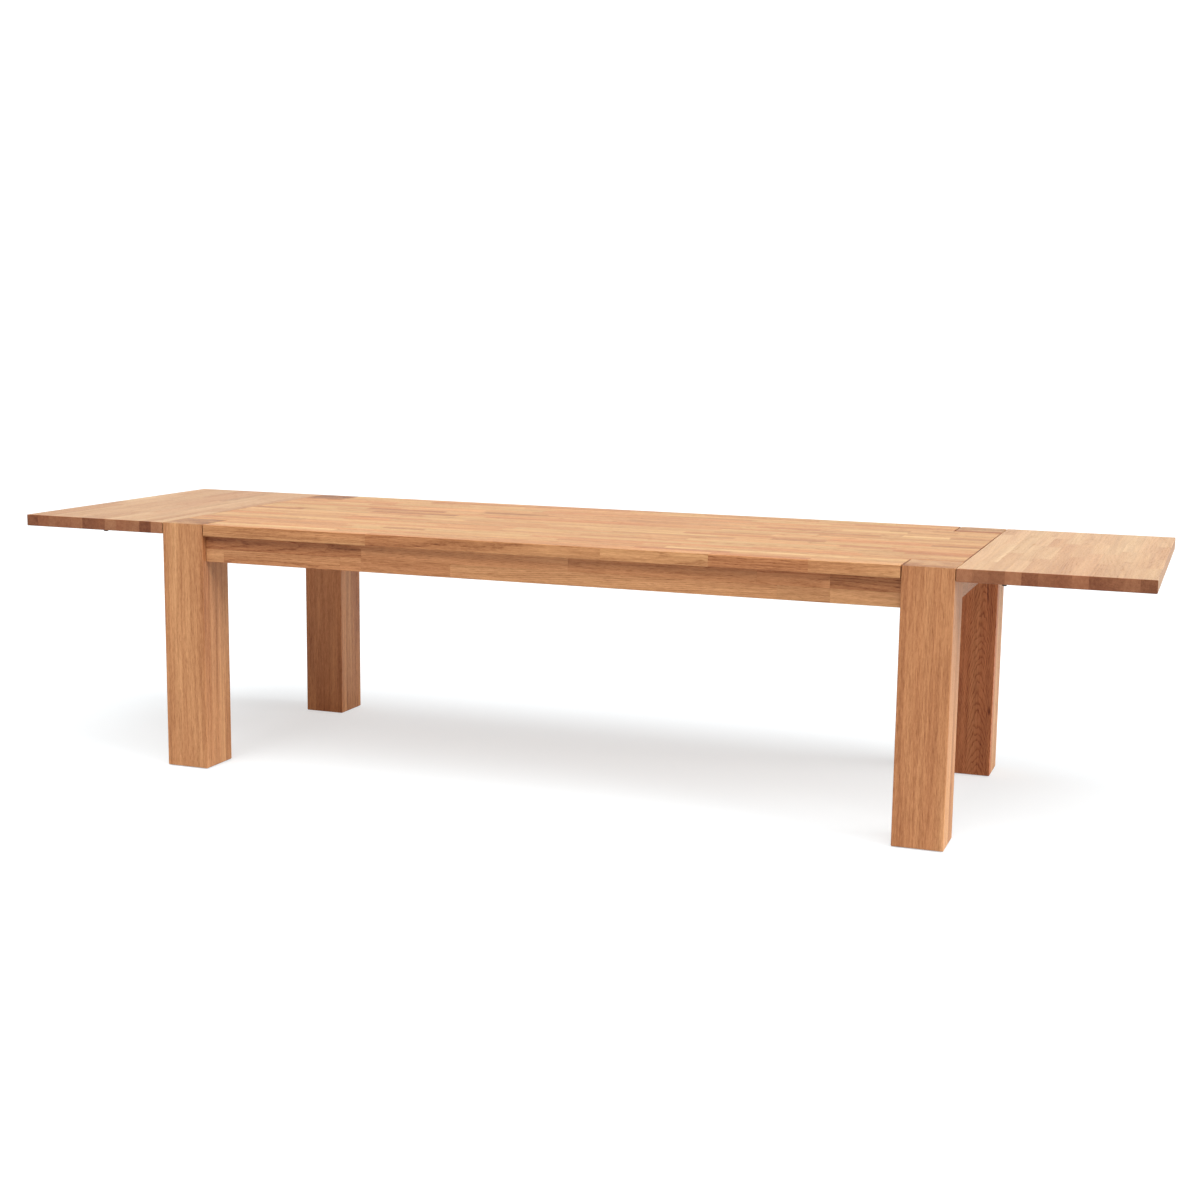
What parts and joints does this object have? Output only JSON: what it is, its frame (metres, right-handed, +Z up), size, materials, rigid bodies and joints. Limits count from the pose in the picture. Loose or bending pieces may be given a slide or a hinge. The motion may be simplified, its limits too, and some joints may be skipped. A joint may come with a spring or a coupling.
{
  "type": "extendable dining table",
  "caption": "Solid oak dining table with square corner legs flush in the top and a slide-on leaf at each end, carried by pull-out rails.",
  "frame": {"origin": "on the floor under the middle of the table", "axes": "+X along the table's length towards the right-hand leaf, +Y towards the back, +Z up"},
  "size_m": [3.4, 1, 0.76],
  "materials": {
    "oak_top": "oiled",
    "oak_leg": "oiled",
    "oak_apron": "oiled",
    "oak_leaf": "oiled",
    "rail_wood": "sanded",
    "dark_steel": "burnished",
    "zinc_steel": "zinc plated",
    "glide_plastic": "matte"
  },
  "bodies": {
    "table": {"tabletop": "oak_top", "cross_rail": "rail_wood", "apron_front": "oak_apron", "apron_back": "oak_apron", "apron_left": "oak_apron", "catch_stud_left": "zinc_steel", "leg_left_front": "oak_leg", "glide_left_front": "glide_plastic", "corner_plate_left_front": "zinc_steel", "leg_bolt_left_front": "zinc_steel", "rail_guide_left_front": "rail_wood", "leaf_pin_left_front": "zinc_steel", "leg_left_back": "oak_leg", "glide_left_back": "glide_plastic", "corner_plate_left_back": "zinc_steel", "leg_bolt_left_back": "zinc_steel", "rail_guide_left_back": "rail_wood", "leaf_pin_left_back": "zinc_steel", "apron_right": "oak_apron", "catch_stud_right": "zinc_steel", "leg_right_front": "oak_leg", "glide_right_front": "glide_plastic", "corner_plate_right_front": "zinc_steel", "leg_bolt_right_front": "zinc_steel", "rail_guide_right_front": "rail_wood", "leaf_pin_right_front": "zinc_steel", "leg_right_back": "oak_leg", "glide_right_back": "glide_plastic", "corner_plate_right_back": "zinc_steel", "leg_bolt_right_back": "zinc_steel", "rail_guide_right_back": "rail_wood", "leaf_pin_right_back": "zinc_steel"},
    "leaf_left": {"leaf_left": "oak_leaf", "catch_pivot_left": "dark_steel"},
    "hook_left": {"catch_hook_left": "dark_steel"},
    "rail_left_front": {"leaf_rail_left_front": "rail_wood", "rail_pull_left_front": "dark_steel", "rail_stop_left_front": "rail_wood"},
    "rail_left_back": {"leaf_rail_left_back": "rail_wood", "rail_pull_left_back": "dark_steel", "rail_stop_left_back": "rail_wood"},
    "leaf_right": {"leaf_right": "oak_leaf", "catch_pivot_right": "dark_steel"},
    "hook_right": {"catch_hook_right": "dark_steel"},
    "rail_right_front": {"leaf_rail_right_front": "rail_wood", "rail_pull_right_front": "dark_steel", "rail_stop_right_front": "rail_wood"},
    "rail_right_back": {"leaf_rail_right_back": "rail_wood", "rail_pull_right_back": "dark_steel", "rail_stop_right_back": "rail_wood"}
  },
  "joints": [
    {"name": "leaf_left_draws_off", "type": "slide", "parent": "table", "child": "leaf_left", "axis": [-1, 0, 0], "range_m": [0, 0.4]},
    {"name": "hook_left_swings", "type": "hinge", "parent": "leaf_left", "child": "hook_left", "pos_m": [-1.3055, 0.339, 0.7068], "axis": [0, 0, 1], "range_deg": [0, 180]},
    {"name": "rail_left_front_slides", "type": "slide", "parent": "table", "child": "rail_left_front", "axis": [1, 0, 0], "range_m": [0, 0.376]},
    {"name": "rail_left_back_slides", "type": "slide", "parent": "table", "child": "rail_left_back", "axis": [1, 0, 0], "range_m": [0, 0.376]},
    {"name": "leaf_right_draws_off", "type": "slide", "parent": "table", "child": "leaf_right", "axis": [1, 0, 0], "range_m": [0, 0.4]},
    {"name": "hook_right_swings", "type": "hinge", "parent": "leaf_right", "child": "hook_right", "pos_m": [1.3055, -0.339, 0.7068], "axis": [0, 0, 1], "range_deg": [0, 180]},
    {"name": "rail_right_front_slides", "type": "slide", "parent": "table", "child": "rail_right_front", "axis": [-1, 0, 0], "range_m": [0, 0.376]},
    {"name": "rail_right_back_slides", "type": "slide", "parent": "table", "child": "rail_right_back", "axis": [-1, 0, 0], "range_m": [0, 0.376]}
  ]
}
